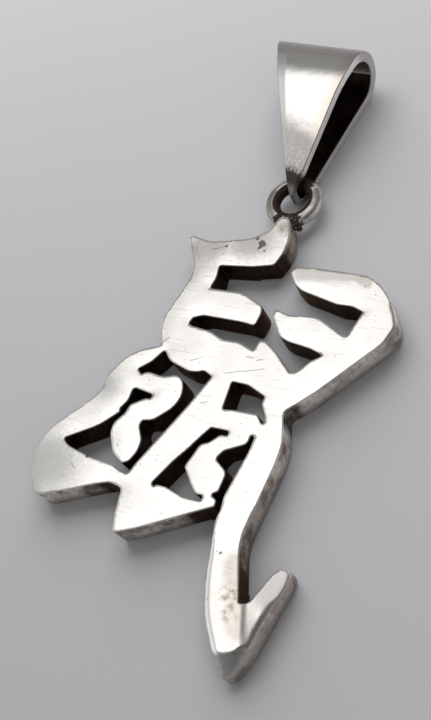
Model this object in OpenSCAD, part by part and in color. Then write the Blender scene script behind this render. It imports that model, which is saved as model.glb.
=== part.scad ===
// A pierced silver pendant that lies on its back: a thick plate sawn to the outline of one
// traditional written sign, with a jump ring soldered to its upper tip, and a folded bail
// that is threaded through the ring. +Z is up out of the polished face, and +Y points from
// the plate's balance point to the ring, which is upwards when the pendant hangs.

/* [Plate] */
// Height of the sawn plate, from the foot of the long leg to the upper tip
plate_h = 42.4; // [40:0.2:45]
// Thickness of the plate
plate_t = 2.8; // [2.6:0.1:3.2]
// Slope of the filed face on the hook of the long leg, in degrees
hook_slope = 12; // [4:1:16]
// Slope of the filed end of the long leg, in degrees
foot_slope = 34; // [15:1:40]

/* [Jump ring] */
// Outside diameter of the jump ring
ring_od = 5.8; // [5.7:0.1:6]
// Diameter of the jump ring's wire
ring_wire = 1.45; // [1.2:0.05:1.45]
// Height of the middle of the ring's wire above the plate's back
ring_rise = 1.65; // [1.6:0.05:1.7]

/* [Bail] */
// Length of the bail from the middle of the jump ring to the top of the fold
bail_l = 16.95; // [15:0.05:18]
// Width of the bail along the top of the fold
bail_fold_w = 10.5; // [9:0.1:12]
// Width of the bail at its nose
bail_nose_w = 0.45; // [0.3:0.05:0.5]
// Height of the fold
bail_h = 6.3; // [6:0.1:7]
// Thickness of the bail's strip
bail_t = 0.9; // [0.8:0.05:1]
// Angle by which the fold is turned clockwise from square to the hanging line, in degrees
bail_turn = 8; // [0:0.1:12]

/* [Hidden] */

// The rows below are drawn for this height of plate, and are scaled to the wanted one.
drawn_h = 42.4;
size = plate_h / drawn_h;
// A round corner is a chain of short sides. In degrees, each turns by no more than this: the
// first value is for the plate, and the second for the bail.
corner_step = 10;
fold_step = 5;
// How far a cutting solid runs past the metal.
past = 1;

// Each row of an outline is one corner of the saw's path: [x, y, radius of the corner], in
// millimetres from the plate's balance point. The outside is taken clockwise from the horn.
top_edge = [
    [-9.35, 17.15, 0.4], [-6.5, 16.4, 3], [-2.4, 17.2, 3], [-0.75, 18.2, 1],
    [0, 20.05, 0.5], [0.95, 19.9, 0.6]];
upper_bay = [
    [1.75, 17.7, 3], [1.65, 15.9, 2], [1.2, 14.55, 0.6], [-1, 14.1, 3], [-4.45, 13.85, 0.2],
    [-4.25, 12.5, 2], [-4.5, 11.25, 0.1]];
middle_stroke = [
    [-0.9, 11.25, 3], [1.5, 10.15, 0.8], [1.75, 9.4, 1.5], [1.5, 7.95, 0.35], [0.4, 8.15, 3],
    [-4.1, 8.3, 1.5]];
side_slot = [
    [-5.05, 7.9, 0.1], [-5.25, 7.25, 0.1], [-4.8, 7.05, 0.2], [-2.7, 6.8, 1.5],
    [-1.2, 6.15, 1.5], [0.6, 6.15, 2], [2.3, 5.5, 0.15]];
shoulder = [
    [2.45, 6.65, 0.35], [3.1, 6.65, 0.8], [4.4, 5.8, 4], [6.45, 3.95, 0.1], [7.1, 4.15, 0.8],
    [7.9, 5.35, 1.5], [8.9, 6.1, 0.1]];
lower_arm = [
    [7.5, 6.55, 2], [5.2, 6.9, 2], [4.2, 7.3, 1.5], [2.85, 9.25, 0.8], [2.9, 10.05, 0.3],
    [4.4, 9.6, 1.5], [7.2, 9.85, 3], [9.9, 8.4, 1], [10.5, 8.25, 0.1]];
upper_arm = [
    [10.75, 9.3, 2], [11.2, 10.85, 0.1], [10.1, 11.25, 1.5], [8.6, 11.25, 2], [4.8, 12.2, 2],
    [3.85, 12.8, 1.5], [3, 14.05, 0.45], [3.5, 14.65, 1], [5, 14.8, 3], [10.7, 14.6, 2.5]];
arm_side = [
    [12.6, 13.5, 5], [14.2, 11.2, 4], [14.75, 9.7, 1.5], [13.9, 8, 6], [9, 1.9, 12],
    [7.2, 0.25, 0.5]];
leg_right = [[8.1, -2.7, 2.5], [8.1, -4.4, 5], [7.4, -10.9, 5], [7.5, -12.2, 6], [9, -16.5, 0.1]];
hook = [
    [9.5, -16.35, 0.3], [9.85, -16, 0.8], [10.8, -13.5, 1], [11.35, -12.75, 0.5],
    [12.1, -12.85, 0.5], [12.2, -13.7, 3], [11.75, -15.8, 3], [11.1, -18.9, 8],
    [10.7, -21.1, 2], [10.1, -22.2, 0.6]];
leg_left = [
    [9.3, -22.4, 0.6], [6.4, -18.1, 8], [5.35, -15, 8], [4.9, -12.2, 8], [4.45, -8.3, 2],
    [5.25, -3.9, 3]];
inner_slit = [
    [5.3, -2.45, 0.1], [4.95, -2.45, 0.1], [4.95, -3.3, 0.8], [3, -4.35, 0.5],
    [2.5, -5.2, 0.3], [4, -6.2, 0.8], [3.85, -8, 0.3], [3.4, -8.3, 0.1], [3.4, -8.5, 0.1],
    [3.95, -8.75, 0.3]];
middle_foot = [
    [4, -9.35, 0.1], [-2.6, -13, 3], [-4.6, -13.85, 0.4], [-5.1, -12.2, 3],
    [-5.45, -9.75, 0.5]];
left_foot = [
    [-6.8, -9.5, 1.5], [-8.3, -10.05, 3], [-13.2, -12.25, 1.2], [-14.3, -12.05, 1],
    [-15.6, -10.05, 4], [-16.25, -7.9, 2.5], [-15.4, -5.55, 4], [-12.45, -2.2, 1.5],
    [-11.65, -0.95, 1.2], [-11.8, 0.5, 2], [-10.6, 2.75, 4], [-9.2, 3.8, 3]];
left_side = [
    [-7.3, 4.5, 0.1], [-7.95, 5.8, 2], [-8.3, 7.5, 3], [-7.05, 12.2, 3], [-7.45, 13.7, 4]];
outside = concat(
    top_edge, upper_bay, middle_stroke, side_slot, shoulder, lower_arm, upper_arm, arm_side,
    leg_right, hook, leg_left, inner_slit, middle_foot, left_foot, left_side);

// The three openings that are closed all round, with the same kind of rows.
left_opening_roof = [
    [-6.65, 4.1, 0.15], [-5.7, 3.1, 2], [-3.3, 2.4, 2], [-2.4, 2.5, 0.8], [-1.85, 2.75, 0.6],
    [-0.85, 2.3, 0.1], [-2.2, -1.1, 8], [-4.95, -7.1, 2], [-5.4, -8.4, 0.4]];
left_opening_floor = [
    [-6.4, -8.2, 0.8], [-7.3, -7.85, 1.5], [-9.9, -7.6, 4], [-12.7, -7, 2],
    [-13.45, -6.45, 0.1], [-10.3, -4.5, 5], [-8.65, -2.75, 0.1], [-8.85, -2.5, 0.05],
    [-8.3, -1.5, 1], [-8.3, -0.15, 0.3], [-6.05, -0.5, 0.15], [-6.1, -0.95, 0.15]];
left_dot = [
    [-6.6, -0.95, 0.6], [-7.95, -1.85, 0.6], [-8.15, -2.8, 1.2], [-8.9, -3.9, 1.2],
    [-8.85, -4.95, 1.5], [-7.8, -6.75, 2], [-6.4, -7.55, 0.25], [-5.75, -7.2, 0.6],
    [-5.25, -6.1, 1.5], [-5.3, -5, 1], [-6.15, -3.65, 0.6], [-6, -3.15, 0.2],
    [-5, -2.95, 1.5], [-3.35, -1.3, 3], [-3, 0.1, 2], [-3.5, 1.4, 1.5], [-4.3, 1.9, 1],
    [-5.7, 1.45, 1.5], [-7.5, 1.7, 1], [-8.1, 1.3, 0.1], [-8.65, 1.75, 0.1],
    [-7.5, 2.75, 1.5]];
left_opening = concat(left_opening_roof, left_opening_floor, left_dot);
foot_opening = [
    [1, -2.5, 0.15], [2.75, -2.5, 0.15], [2.8, -2.95, 0.15], [2.1, -2.95, 0.5],
    [1.3, -3.85, 1], [0.5, -4.2, 0.8], [0.2, -5.3, 2], [-0.2, -6.5, 0.4], [1.2, -8.15, 3],
    [1.85, -8.7, 0.4], [2.55, -8.65, 0.1], [2.55, -9.2, 0.1], [0.8, -9.2, 2],
    [-1.2, -8.65, 2], [-2.2, -8.65, 0.2], [-2.35, -8.95, 0.1], [-2.65, -8.65, 0.1],
    [-1.3, -6.1, 5], [-0.55, -5.05, 3], [0.45, -3.35, 3]];
window = [
    [1.35, 2.15, 0.1], [2.95, 2.1, 1.5], [4.9, 1.3, 0.15], [4.85, 0.6, 0.5],
    [5.6, -0.55, 0.5], [5.8, -1.15, 0.1], [5.5, -1.2, 0.1], [4.85, -0.45, 0.4],
    [2.5, -0.45, 2], [1.4, -0.6, 0.1]];

// The filed faces each fall away from a ridge on the polished face: from the notch down the
// leg for the hook, and across the leg for its end. Each cut runs on past its ridge's ends.
hook_ridge = [[9.1, -16.5], [10.2, -20]];
foot_ridge = [[8.7, -20.8], [10.2, -20.1]];
hook_cut_up = 5;
hook_cut_down = 8;
foot_cut_reach = 3;

// The jump ring lies against the tip, and solder fills the corner between them.
ring_mid = [0.22, 22.42] * size;
ring_r = (ring_od - ring_wire) / 2;
solder_mid = [0.6, 19.9] * size;
solder_r = 0.85;

// The bail in side view, [along, up, radius], along from the middle of the jump ring. The
// strip is filed thinner at its nose, and its front leaf rises to a rounded shoulder.
nose = 0.3;
nose_low = 0.75;
nose_high = 2.1;
nose_t = 0.75;
web_end = 0.95;
fold_r = bail_h / 2;
front_rise = 0.31;
front_start = [1.2, 3.15];
front_bow_r = 11;
front_bow = front_start.x + (bail_h - front_start.y) / front_rise;
front_under = front_start.y + (web_end - front_start.x) * front_rise
    - nose_t * norm([1, front_rise]);
bail_outer = [
    [nose, nose_low, 0.3], [web_end, 0, 1], [bail_l, 0, fold_r], [bail_l, bail_h, fold_r],
    [front_bow, bail_h, front_bow_r], [front_start.x, front_start.y, 1],
    [nose, nose_high, 0.4]];
bail_inner = [
    [web_end, nose_t, 0.4], [bail_l - bail_t, bail_t, fold_r - bail_t],
    [bail_l - bail_t, bail_h - bail_t, fold_r - bail_t],
    [front_bow, bail_h - bail_t, front_bow_r - bail_t], [web_end, front_under, 0.4]];

// The bail in plan: the strip tapers more on its left than on its right, and its right edge
// turns in beside the ring to bring the nose to a point.
fold_left = 0.865 * bail_fold_w;
nose_left = 0.55;
right_turn = [0.4, 2.7];

// The middle of the whole pendant, seen from above, is the origin: half way across the plate,
// and half way between the foot of the leg and the left end of the fold.
sawn_path = rounded(sized(outside), corner_step);
sawn_x = [for (p = sawn_path) p.x];
sawn_y = [for (p = sawn_path) p.y];
fold_y = ring_mid.y + fold_left * sin(bail_turn) + bail_l * cos(bail_turn);
middle = [(min(sawn_x) + max(sawn_x)) / 2, (min(sawn_y) + fold_y) / 2];

function flat(row) = [row.x, row.y];
function unit(v) = v / norm(v);
function side_of(a, b, c) = cross(flat(b) - flat(a), flat(c) - flat(b)) > 0 ? 1 : -1;

// The points of corner b between its neighbours a and c, rounded by an arc that touches both
// sides and takes up less than half of the shorter one.
function corner(a, b, c, step) =
    let (
        u = unit(flat(a) - flat(b)),
        v = unit(flat(c) - flat(b)),
        half = acos(max(-1, min(1, u * v))) / 2,
        room = 0.49 * min(norm(flat(a) - flat(b)), norm(flat(c) - flat(b))),
        back = min(b.z / tan(half), room),
        mid = flat(b) + unit(u + v) * back / cos(half),
        from = flat(b) + u * back - mid,
        turn = (180 - 2 * half) * side_of(a, b, c),
        n = max(1, ceil(abs(turn) / step)))
    [for (i = [0 : n])
        let (t = turn * i / n)
        mid + [from.x * cos(t) - from.y * sin(t), from.x * sin(t) + from.y * cos(t)]];

// A closed outline: its rows with every corner rounded.
function rounded(rows, step) =
    let (n = len(rows))
    [for (i = [0 : n - 1])
        for (p = corner(rows[(i + n - 1) % n], rows[i], rows[(i + 1) % n], step)) p];

function sized(rows) = [for (row = rows) row * size];

module prism(rows, z0, z1) {
    translate([0, 0, z0])
        linear_extrude(z1 - z0)
            polygon(rounded(sized(rows), corner_step));
}

// A block whose underside falls away at a slope, to the left of the line from a to b.
module filing(a, b, slope, before, after, reach) {
    run = norm(b - a);
    translate([a.x, a.y, plate_t])
        rotate([0, 0, atan2(b.y - a.y, b.x - a.x)])
            rotate([-slope, 0, 0])
                translate([-before, 0, 0])
                    cube([before + run + after, reach, plate_t]);
}

module pierced_plate() {
    difference() {
        prism(outside, 0, plate_t);
        prism(left_opening, -past, plate_t + past);
        prism(foot_opening, -past, plate_t + past);
        prism(window, -past, plate_t + past);
        filing(hook_ridge[0] * size, hook_ridge[1] * size, hook_slope,
               hook_cut_up, hook_cut_down, hook_cut_up);
        filing(foot_ridge[1] * size, foot_ridge[0] * size, foot_slope,
               foot_cut_reach, foot_cut_reach, foot_cut_reach);
    }
}

module jump_ring() {
    translate([ring_mid.x, ring_mid.y, ring_rise])
        rotate_extrude($fn = 48)
            translate([ring_r, 0])
                circle(d = ring_wire, $fn = 20);
}

module solder() {
    translate([solder_mid.x, solder_mid.y, ring_rise])
        sphere(r = solder_r, $fn = 24);
}

// Soldered metal is one piece: the plate, its jump ring and the solder between them.
module sawn_plate() {
    color("silver")
        translate(-middle)
            union() {
                pierced_plate();
                jump_ring();
                solder();
            }
}

// The bail's loop seen from the side, as wide as the fold all along.
module bail_loop() {
    rotate([90, 0, 90])
        translate([0, 0, -fold_left])
            linear_extrude(bail_fold_w)
                difference() {
                    polygon(rounded(bail_outer, fold_step));
                    polygon(rounded(bail_inner, fold_step));
                }
}

// The taper of the strip seen from above, from the nose to the fold.
module bail_taper() {
    translate([0, 0, -past])
        linear_extrude(bail_h + 2 * past)
            polygon([
                [-nose_left, nose], [bail_nose_w - nose_left, nose], right_turn,
                [bail_fold_w - fold_left, bail_l], [-fold_left, bail_l]]);
}

module bail() {
    color("gainsboro")
        translate([ring_mid.x - middle.x, ring_mid.y - middle.y, 0])
            rotate([0, 0, -bail_turn])
                intersection() {
                    bail_loop();
                    bail_taper();
                }
}

sawn_plate();
bail();
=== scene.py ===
# %% [markdown]
# # A pierced silver pendant
#
# The pendant lies on its back on a pale table. It is made of three kinds of metalwork: a thick
# plate that was sawn to the outline of a written sign and polished, a jump ring that was soldered
# to the plate's upper tip, and a bail, a strip of silver that was tapered, folded over and
# threaded through the ring.
#
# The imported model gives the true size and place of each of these. This lesson gives them their
# soft polished edges, their solder, and the finish of worn silver: bright where it rubs against
# cloth, and nearly black where no cloth reaches.

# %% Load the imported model
import math
from contextlib import contextmanager

import bmesh
import bpy
import numpy as np
from mathutils import Matrix, Vector, noise
from mathutils.bvhtree import BVHTree
from mathutils.kdtree import KDTree


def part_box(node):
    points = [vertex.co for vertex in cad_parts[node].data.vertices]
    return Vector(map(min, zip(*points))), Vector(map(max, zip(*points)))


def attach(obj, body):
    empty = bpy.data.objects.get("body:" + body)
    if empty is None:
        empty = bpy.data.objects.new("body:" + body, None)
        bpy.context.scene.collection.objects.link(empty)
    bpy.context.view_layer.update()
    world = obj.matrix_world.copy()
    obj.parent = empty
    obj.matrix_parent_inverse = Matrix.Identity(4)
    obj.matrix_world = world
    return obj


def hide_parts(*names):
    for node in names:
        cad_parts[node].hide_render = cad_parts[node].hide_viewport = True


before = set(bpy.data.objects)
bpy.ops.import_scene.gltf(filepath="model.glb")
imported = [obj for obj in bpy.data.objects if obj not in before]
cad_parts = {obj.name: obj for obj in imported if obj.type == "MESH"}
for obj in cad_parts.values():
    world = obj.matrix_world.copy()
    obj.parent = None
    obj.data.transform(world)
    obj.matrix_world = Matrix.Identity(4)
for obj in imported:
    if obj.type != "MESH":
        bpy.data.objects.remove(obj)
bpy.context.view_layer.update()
MM = 0.001
print("CAD nodes:", sorted(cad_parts))

# %% [markdown]
# ## The camera
#
# The photograph looks down at the table at a steep angle, with the pendant's hanging line turned
# in the picture. Three angles say all of that: how far the view leans from straight down, which
# way it leans, and how far the picture is rolled about the line of sight. Setting the camera's
# matrix from those three is more exact than aiming it and then turning it by eye.

# %% Camera
LEAN = math.radians(36)
LEAN_TOWARDS = math.radians(-36)
ROLL = math.radians(51.5)
CAMERA_DISTANCE = 95 * MM
AIM = Vector((-1.941, -3.936, 0)) * MM

near_side = Vector((math.cos(LEAN_TOWARDS), math.sin(LEAN_TOWARDS), 0))
far_right = Vector((-near_side.y, near_side.x, 0))
up = Vector((0, 0, 1))
to_camera = math.sin(LEAN) * near_side + math.cos(LEAN) * up
steep = math.cos(LEAN) * near_side - math.sin(LEAN) * up
picture_right = math.cos(ROLL) * steep + math.sin(ROLL) * far_right
picture_up = -math.sin(ROLL) * steep + math.cos(ROLL) * far_right

camera = bpy.data.objects.new("camera", bpy.data.cameras.new("camera"))
bpy.context.scene.collection.objects.link(camera)
camera.data.lens = 50
camera.data.sensor_width = 36
camera.data.clip_start = 5 * MM
camera.data.clip_end = 10
camera.matrix_world = Matrix((picture_right, picture_up, to_camera)).transposed().to_4x4()
camera.location = AIM + CAMERA_DISTANCE * to_camera
bpy.context.scene.camera = camera
print("camera at", [round(x / MM, 1) for x in camera.location], "mm")

# %% [markdown]
# ## The table and the light
#
# Polished silver has next to no colour of its own: what it shows is the room. A flat face that
# mirrors a bright panel turns white, and an edge that mirrors the dark foot of the wall turns
# into a thin dark line. So the room is built first: a pale table, a room that is dim at the
# horizon and lighter overhead, and one broad soft panel above, in the direction that the plate's
# face mirrors.

# %% Table
TABLE_HALF = 1.2
TABLE_GREY = (0.215, 0.215, 0.2225, 1)
# A faint light of the table's own stands for the light that a pale sheet spreads into shadows.
TABLE_GLOW = 0.03

bpy.ops.mesh.primitive_plane_add(size=2 * TABLE_HALF, location=(0, 0, 0))
table = bpy.context.object
table.name = "table"
table_paint = bpy.data.materials.new("table_paint")
table_paint.use_nodes = True
table_shader = table_paint.node_tree.nodes["Principled BSDF"]
table_shader.inputs["Base Color"].default_value = TABLE_GREY
table_shader.inputs["Roughness"].default_value = 0.7
table_shader.inputs["Specular IOR Level"].default_value = 0.2
table_shader.inputs["Emission Color"].default_value = (1, 1, 1, 1)
table_shader.inputs["Emission Strength"].default_value = TABLE_GLOW
table.data.materials.append(table_paint)
print("table", round(2 * TABLE_HALF, 1), "m wide")

# %% [markdown]
# ### Node helpers
#
# The room and every finish are small trees of shader nodes. What a node puts out is wrapped here
# as a Value, so that a tree is written as a sum, and each step of the sum makes its node. A mask
# is a value from 0 to 1 that says how much of an effect shows at a place.

# %% Placing nodes
def fill(socket, value):
    """Gives a socket a number or a colour, or a link to a Value."""
    if isinstance(value, Value):
        socket.id_data.links.new(value.socket, socket)
    else:
        socket.default_value = (*value, 1) if socket.type == "RGBA" else value


def fill_inputs(node, inputs):
    for key, value in inputs.items():
        fill(node.inputs[key], value)


def add_node(tree, kind, inputs=None, out=0, **settings):
    """A new node with these settings and inputs. Hands back what it puts out."""
    made = tree.nodes.new(kind)
    for key, value in settings.items():
        setattr(made, key, value)
    fill_inputs(made, inputs or {})
    return Value(made.outputs[out])


print("helpers to place a node ready")

# %% Values that nodes put out
def maths(operation, first, second):
    """The result of a Math node. At least one of the two is a Value."""
    tree = (first if isinstance(first, Value) else second).tree
    return add_node(tree, "ShaderNodeMath", {0: first, 1: second}, operation=operation)


class Value:
    """What a node puts out."""

    def __init__(self, socket):
        self.socket = socket
        self.tree = socket.id_data

    def __add__(self, other):
        return maths("ADD", self, other)

    def __sub__(self, other):
        return maths("SUBTRACT", self, other)

    def __rsub__(self, other):
        return maths("SUBTRACT", other, self)

    def __mul__(self, other):
        return maths("MULTIPLY", self, other)

    def step_up(self, low, high):
        """0 below low, 1 above high, and a soft step between them."""
        return add_node(self.tree, "ShaderNodeMapRange", {
            "Value": self, "From Min": low, "From Max": high}, interpolation_type="SMOOTHSTEP")

    def step_down(self, low, high):
        """1 below low, 0 above high, and a soft step between them."""
        return 1 - self.step_up(low, high)

    def between(self, low, high):
        """A number that goes from low to high as this value goes from 0 to 1."""
        return add_node(self.tree, "ShaderNodeMapRange", {"Value": self, "To Min": low, "To Max": high})

    def blend(self, first, second):
        """The colour that goes from first to second as this value goes from 0 to 1."""
        made = add_node(self.tree, "ShaderNodeMix", {"Factor": self}, data_type="RGBA").socket.node
        for key, value in (("A", first), ("B", second)):
            fill(next(s for s in made.inputs if s.name == key and s.type == "RGBA"), value)
        return Value(next(s for s in made.outputs if s.type == "RGBA"))

    def uneven(self, noise_value, swing):
        """This value moved up and down by noise from 0 to 1, by up to swing to either side."""
        return self + (noise_value - 0.5) * (2 * swing)


def vector_maths(operation, first, second, out=0):
    """The result of a Vector Math node. The first vector is a Value."""
    return add_node(first.tree, "ShaderNodeVectorMath", {0: first, 1: second}, out, operation=operation)


print("a value can be added to, multiplied, stepped and blended")

# %% [markdown]
# ### The room
#
# The world colour is a ramp by height with soft round patches over it. The side towards the
# camera is dim, because whatever stands there shades it. A low window lights the left, and the
# ceiling panel is what the flat face of the pendant mirrors. All that the silver shows comes from
# these few greys, so they are kept in one table and are easy to change.

# %% Room
# Each level is a place between straight down (0) and straight up (1), and a grey.
ROOM_LEVELS = ((0.0, 0.2), (0.5, 0.36), (0.62, 0.32), (0.76, 0.22), (0.88, 0.23), (1.0, 0.26))
ROOM_TINT = (1.0, 0.985, 0.975)
# Patches of the room: towards (near side, far right, up), core and rim in degrees, grey.
ROOM_PATCHES = {
    "shaded side": (0.55, 0.25, 0.78, 18, 46, 0.10),
    "low window": (-0.60, -0.76, 0.22, 10, 50, 0.9),
    "ceiling panel": (-0.36, -0.02, 0.93, 15.5, 25.5, 1.25)}

room = bpy.data.worlds.new("room")
bpy.context.scene.world = room
room.use_nodes = True
sky = room.node_tree
towards = add_node(sky, "ShaderNodeTexCoord", out="Generated")
height = add_node(sky, "ShaderNodeSeparateXYZ", {0: towards}, "Z")
share_up = add_node(sky, "ShaderNodeMapRange", {"Value": height, "From Min": -1})
greys = add_node(sky, "ShaderNodeValToRGB", {"Fac": share_up})
levels = greys.socket.node.color_ramp.elements
while len(levels) < len(ROOM_LEVELS):
    levels.new(0.5)
for element, (place, level) in zip(levels, ROOM_LEVELS):
    element.position = place
    element.color = (*[level * tint for tint in ROOM_TINT], 1)
for near, right, high, core, rim, level in ROOM_PATCHES.values():
    middle = (near * near_side + right * far_right + high * up).normalized()
    closeness = vector_maths("DOT_PRODUCT", towards, middle, "Value")
    glow = closeness.step_up(math.cos(math.radians(rim)), math.cos(math.radians(core)))
    greys = glow.blend(greys, [level * tint for tint in ROOM_TINT])
fill(sky.nodes["Background"].inputs["Color"], greys)
bpy.context.scene.view_settings.view_transform = "Standard"
print("room with", len(ROOM_LEVELS), "levels and", len(ROOM_PATCHES), "patches")

# %% [markdown]
# The table is brighter towards the upper left, and its shadows are soft and pale. A window on that
# side gives the first, and a weaker card opposite it, like the one that a photographer holds up,
# gives the second. Mirrors don't see the two, so the room above stays what the silver shows.

# %% Window and fill card
# Each light: place in mm, side of its square in mm, power in watts.
SOFT_LIGHTS = {"window_light": ((-54, 140, 135), 240, 1.25), "fill_card": ((190, -90, 190), 260, 0.36)}

for name, (place, side_mm, power) in SOFT_LIGHTS.items():
    lamp = bpy.data.objects.new(name, bpy.data.lights.new(name, "AREA"))
    bpy.context.scene.collection.objects.link(lamp)
    lamp.data.size = side_mm * MM
    lamp.data.energy = power
    lamp.location = Vector(place) * MM
    lamp.rotation_mode = "QUATERNION"
    lamp.rotation_quaternion = (lamp.location - AIM).to_track_quat("Z", "Y")
    lamp.visible_glossy = False
    print(name, round(lamp.location.length / MM), "mm away")

# %% [markdown]
# ## Small helpers
#
# Every piece below is modelled as by hand: pick an object, go into edit mode, select by place or
# by normal, run an operator, and apply the modifiers. These helpers keep those steps short.

# %% Helpers
MERGE = 1e-6


def pick(piece):
    """Selects this piece alone and makes it the active one."""
    bpy.ops.object.select_all(action="DESELECT")
    piece.select_set(True)
    bpy.context.view_layer.objects.active = piece


@contextmanager
def edit_mode(piece):
    """Edit mode for the lines of a with block, which starts with all of the piece selected."""
    pick(piece)
    bpy.ops.object.mode_set(mode="EDIT")
    bpy.ops.mesh.select_all(action="SELECT")
    yield
    bpy.ops.object.mode_set(mode="OBJECT")


def copy_of(node, name):
    """A copy of a CAD node's mesh, with its loose triangles merged into one skin."""
    piece = bpy.data.objects.new(name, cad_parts[node].data.copy())
    bpy.context.scene.collection.objects.link(piece)
    piece.data.materials.clear()
    with edit_mode(piece):
        bpy.ops.mesh.remove_doubles(threshold=MERGE)
    return piece


def select_where(piece, wanted):
    """In face mode, selects the faces for which wanted(middle, normal) is true."""
    bpy.ops.mesh.select_mode(type="FACE")
    bpy.ops.mesh.select_all(action="DESELECT")
    skin = bmesh.from_edit_mesh(piece.data)
    for face in skin.faces:
        face.select_set(wanted(face.calc_center_median(), face.normal))
    bmesh.update_edit_mesh(piece.data)


def apply_modifier(piece, kind, **settings):
    """Adds a modifier with these settings and applies it."""
    pick(piece)
    modifier = piece.modifiers.new(kind.lower(), kind)
    for key, value in settings.items():
        setattr(modifier, key, value)
    bpy.ops.object.modifier_apply(modifier=modifier.name)


def points_of(piece):
    """The piece's vertices as an array, in millimetres."""
    co = np.empty(3 * len(piece.data.vertices), np.float32)
    piece.data.vertices.foreach_get("co", co)
    return co.reshape(-1, 3).astype(float) / MM


def move_to(piece, points):
    """Puts the piece's vertices at these places, in millimetres."""
    piece.data.vertices.foreach_set("co", (points * MM).astype(np.float32).ravel())
    piece.data.update()


def keep_values(piece, name, values, domain="POINT"):
    """Stores one number for each vertex or face, for the material to read."""
    layer = piece.data.attributes.new(name, "FLOAT", domain)
    layer.data.foreach_set("value", np.asarray(values, np.float32))


def smooth(piece):
    """Shades the whole piece smooth."""
    pick(piece)
    bpy.ops.object.shade_smooth()


def ray_target(piece):
    """The piece's faces in millimetres, as a tree that rays can be cast at."""
    return BVHTree.FromPolygons(
        [v.co / MM for v in piece.data.vertices], [p.vertices[:] for p in piece.data.polygons])


def unmerged_edges(piece):
    """How many edges of the piece are not shared by exactly two faces."""
    skin = bmesh.new()
    skin.from_mesh(piece.data)
    count = sum(1 for edge in skin.edges if len(edge.link_faces) != 2)
    skin.free()
    return count


print("modelling helpers ready")

# %% [markdown]
# ## The sawn plate
#
# The real plate was sawn from sheet silver 2.8 mm thick, pierced with a fine saw, filed, and then
# polished on a wheel, which rounds every edge that it can reach. A Bevel modifier can't follow
# an outline with hundreds of short sides and needle-sharp inner corners: it would tangle in each
# slot. So the plate is made in three steps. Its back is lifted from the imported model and
# extruded to its thickness. A voxel remesh then turns it into a fine even skin. Last, each vertex
# near an edge is moved onto the round that the wheel left there, which a short formula finds from
# the vertex's distance to the outline and to the face.

# %% Back of the plate
BACK_DEPTH = 0.01 * MM
FACING_DOWN = -0.9

plate = copy_of("sawn_plate", "pierced_plate")
plate_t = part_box("sawn_plate")[1].z / MM
with edit_mode(plate):
    select_where(plate, lambda middle, normal: middle.z > BACK_DEPTH or normal.z > FACING_DOWN)
    bpy.ops.mesh.delete(type="FACE")
print("back:", len(plate.data.polygons), "faces, plate", round(plate_t, 2), "mm thick")

# %% [markdown]
# The outline is the back's open border. It is read once, as a list of short sides, and each side
# is cut into samples a few hundredths of a millimetre apart. A search tree then finds the nearest
# sample to any vertex, and the sample's own side gives the exact distance.

# %% Outline samples
SAMPLE_STEP = 0.03


def border_sides(piece):
    """The sides of the open border: both ends in mm, and the direction into the metal."""
    skin = bmesh.new()
    skin.from_mesh(piece.data)
    starts, ends, inwards = [], [], []
    for edge in skin.edges:
        if len(edge.link_faces) == 1:
            a, b = (v.co.xy / MM for v in edge.verts)
            across = Vector((a.y - b.y, b.x - a.x)).normalized()
            middle = edge.link_faces[0].calc_center_median().xy / MM
            if across.dot(middle - a) < 0:
                across.negate()
            starts.append(a)
            ends.append(b)
            inwards.append(across)
    skin.free()
    return np.array(starts), np.array(ends), np.array(inwards)


side_start, side_end, side_inward = border_sides(plate)
side_length = np.linalg.norm(side_end - side_start, axis=1)
counts = np.maximum(1, np.ceil(side_length / SAMPLE_STEP).astype(int))
sample_side = np.repeat(np.arange(len(counts)), counts)
first = np.concatenate([[0], np.cumsum(counts)[:-1]])
sample_share = (np.arange(len(sample_side)) - first[sample_side] + 0.5) / counts[sample_side]
sample_at = (side_start[sample_side] * (1 - sample_share[:, None])
             + side_end[sample_side] * sample_share[:, None])
outline_tree = KDTree(len(sample_at))
for i, (x, y) in enumerate(sample_at):
    outline_tree.insert((x, y, 0), i)
outline_tree.balance()
print("outline:", round(float(side_length.sum()), 1), "mm long,", len(sample_at), "samples")

# %% Extrude the plate
with edit_mode(plate):
    bpy.ops.mesh.extrude_region_move(TRANSFORM_OT_translate={"value": (0, 0, plate_t * MM)})
    bpy.ops.mesh.select_all(action="SELECT")
    bpy.ops.mesh.normals_make_consistent(inside=False)
print("extruded plate: open edges", unmerged_edges(plate))

# %% [markdown]
# Tarnish stays where the wheel and the cloth can't reach. From each sample of the outline a fan of
# rays looks outwards: where they soon meet metal again, as in a slot or a pierced opening, the
# wall is sheltered. The same number also says how far the wheel could round the edge. Rays make it
# jump from one sample to the next, so each sample takes the average of those round it.

# %% Shelter along the outline
FAN = (-50, -25, 0, 25, 50)
REACH = 6.0
OFF_WALL = 0.03
SHELTER_SPREAD = 0.6
# The shelter from which a wall counts as shut in.
SHELTERED = 0.3
plate_target = ray_target(plate)


def shelter_at(spot, outward):
    """How closed in a spot of the wall is, from 0 in the open to 1 in the narrowest slot."""
    start = Vector((*spot, plate_t / 2)) + OFF_WALL * Vector((*outward, 0))
    total = 0
    for turn in FAN:
        ray = Matrix.Rotation(math.radians(turn), 3, "Z") @ Vector((*outward, 0))
        distance = plate_target.ray_cast(start, ray, REACH)[3]
        total += 0 if distance is None else 1 - distance / REACH
    return total / len(FAN)


sample_shelter = np.array([
    shelter_at(spot, -side_inward[side]) for spot, side in zip(sample_at, sample_side)])
sample_shelter = np.array([
    sample_shelter[[i for _, i, _ in outline_tree.find_range((*spot, 0), SHELTER_SPREAD)]].mean()
    for spot in sample_at])
print("sheltered share of the outline:", round(float((sample_shelter > SHELTERED).mean()), 2))

# %% Remesh
VOXEL = 0.15
# A vertex this close to a face of the plate lies in that face's layer.
LAYER = 0.6 * VOXEL

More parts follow.
